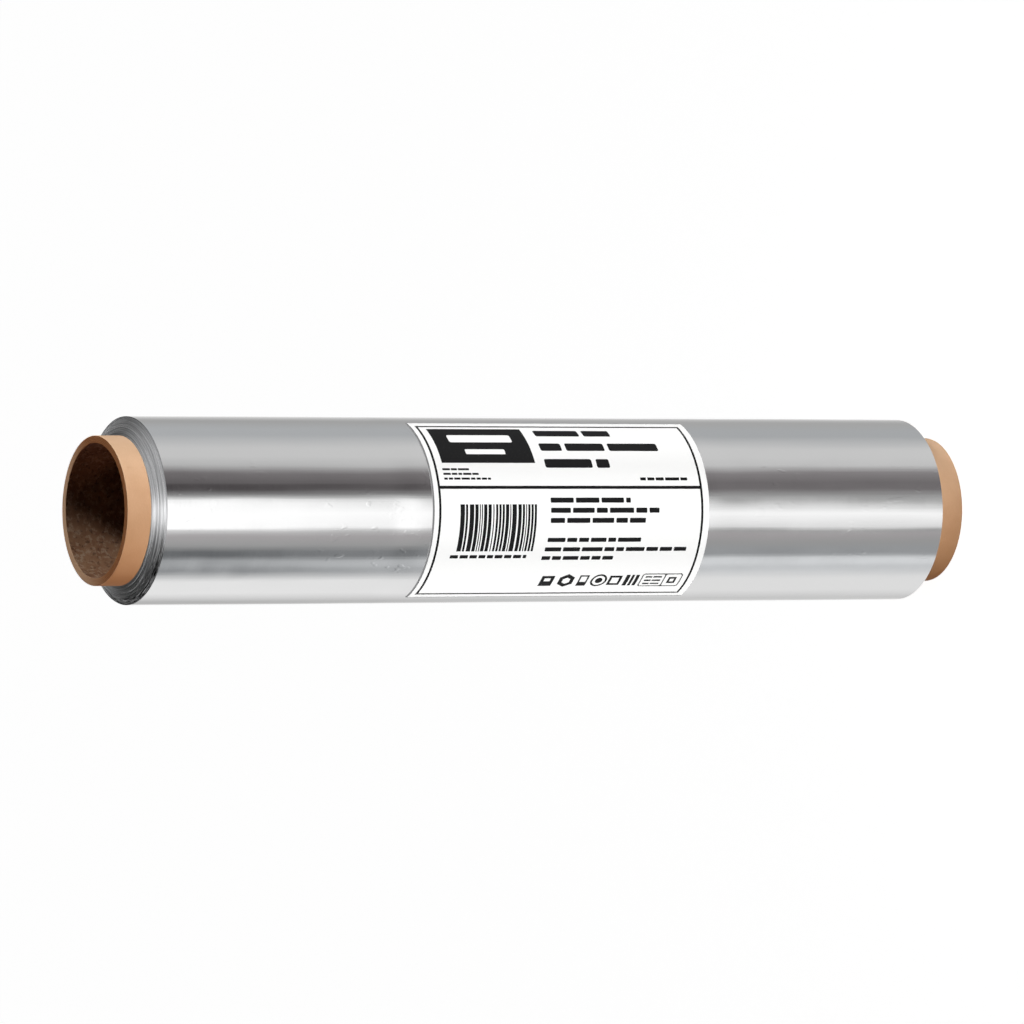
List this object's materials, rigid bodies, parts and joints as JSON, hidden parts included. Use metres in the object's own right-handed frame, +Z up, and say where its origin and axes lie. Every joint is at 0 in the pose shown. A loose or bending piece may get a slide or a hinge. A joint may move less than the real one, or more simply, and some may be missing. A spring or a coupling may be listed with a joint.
{
  "type": "aluminium foil roll",
  "caption": "Roll of aluminium kitchen foil wound on a paper core that stands out at both ends, with a paper label round its middle.",
  "frame": {"origin": "middle of the core's lower end, on the surface the roll stands on", "axes": "+Z up along the core, -Y out of the middle of the label"},
  "size_m": [0.059, 0.059, 0.302],
  "materials": {
    "core_board": "matt kraft paper board",
    "foil": "bright rolled foil, shiny side out",
    "label_paper": "smooth white label paper with black print"
  },
  "bodies": {
    "root": {"core": "core_board", "foil": "foil", "label": "label_paper"}
  },
  "joints": []
}
